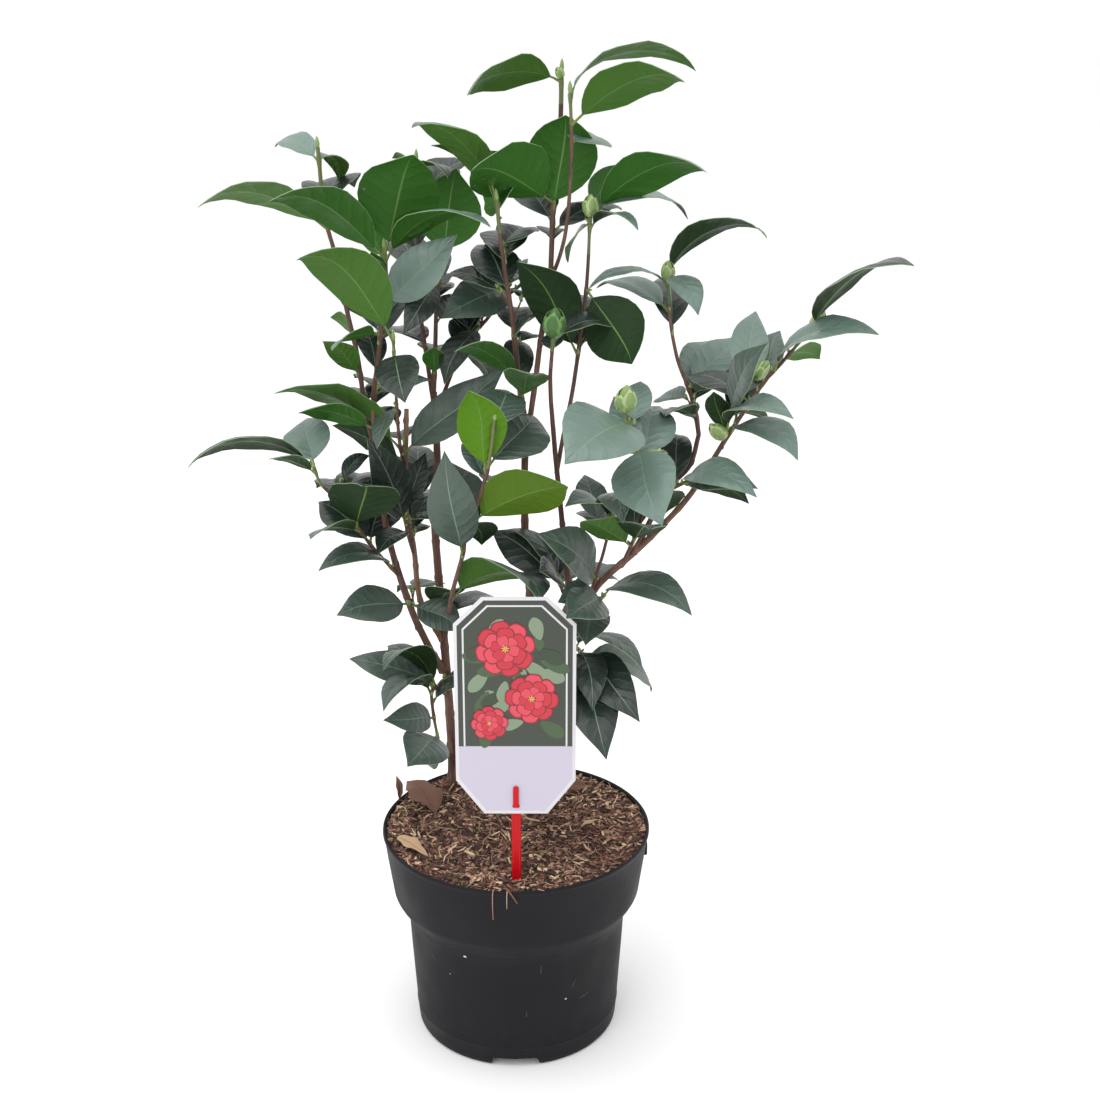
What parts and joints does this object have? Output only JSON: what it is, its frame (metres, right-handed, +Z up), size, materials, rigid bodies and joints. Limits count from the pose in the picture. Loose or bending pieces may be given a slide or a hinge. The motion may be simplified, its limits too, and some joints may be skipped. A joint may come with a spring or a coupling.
{
  "type": "potted shrub",
  "caption": "Young evergreen camellia shrub with bare upright stems and broad glossy leaves, in a round black nursery pot with a card label on a stick.",
  "frame": {"origin": "centre of the pot's underside, on the small flat pad in the middle of the floor", "axes": "+Z up the plant, +X to the right of the label's face, -Y out of the label's face towards the viewer"},
  "size_m": [0.4267, 0.2523, 0.6737],
  "materials": {
    "pot": "satin anthracite black, moulded, lightly scuffed",
    "compost": "rough brown coir fibre and bark chips, moist",
    "card": "smooth coated card with a plain printed rosette",
    "stick": "smooth red plastic",
    "bark": "smooth reddish brown young bark",
    "leaf": "leathery dark green leaf, glossy above and duller below"
  },
  "bodies": {
    "root": {"pot": "pot", "compost": "compost", "label_card": "card", "label_stick": "stick", "trunk_left": "bark", "bough_left": "bark", "cane_left": "bark", "trunk_right": "bark", "bough_centre": "bark", "bough_middle": "bark", "bough_right": "bark", "bough_right_upper": "bark", "foliage_left_crown": "leaf", "foliage_left_cane": "leaf", "foliage_far_left": "leaf", "foliage_left_heart": "leaf", "foliage_left_low": "leaf", "foliage_left_front": "leaf", "foliage_inner_back": "leaf", "foliage_inner_left": "leaf", "foliage_inner_right": "leaf", "foliage_centre_front": "leaf", "foliage_left_foot": "leaf", "foliage_centre": "leaf", "foliage_top": "leaf", "foliage_middle_top": "leaf", "foliage_middle_low": "leaf", "foliage_right_crown": "leaf", "foliage_right_tip": "leaf", "foliage_right_under": "leaf", "foliage_right_spire": "leaf", "foliage_right_front": "leaf", "foliage_right_inner": "leaf", "foliage_right_low": "leaf", "foliage_right_foot": "leaf"}
  },
  "joints": []
}
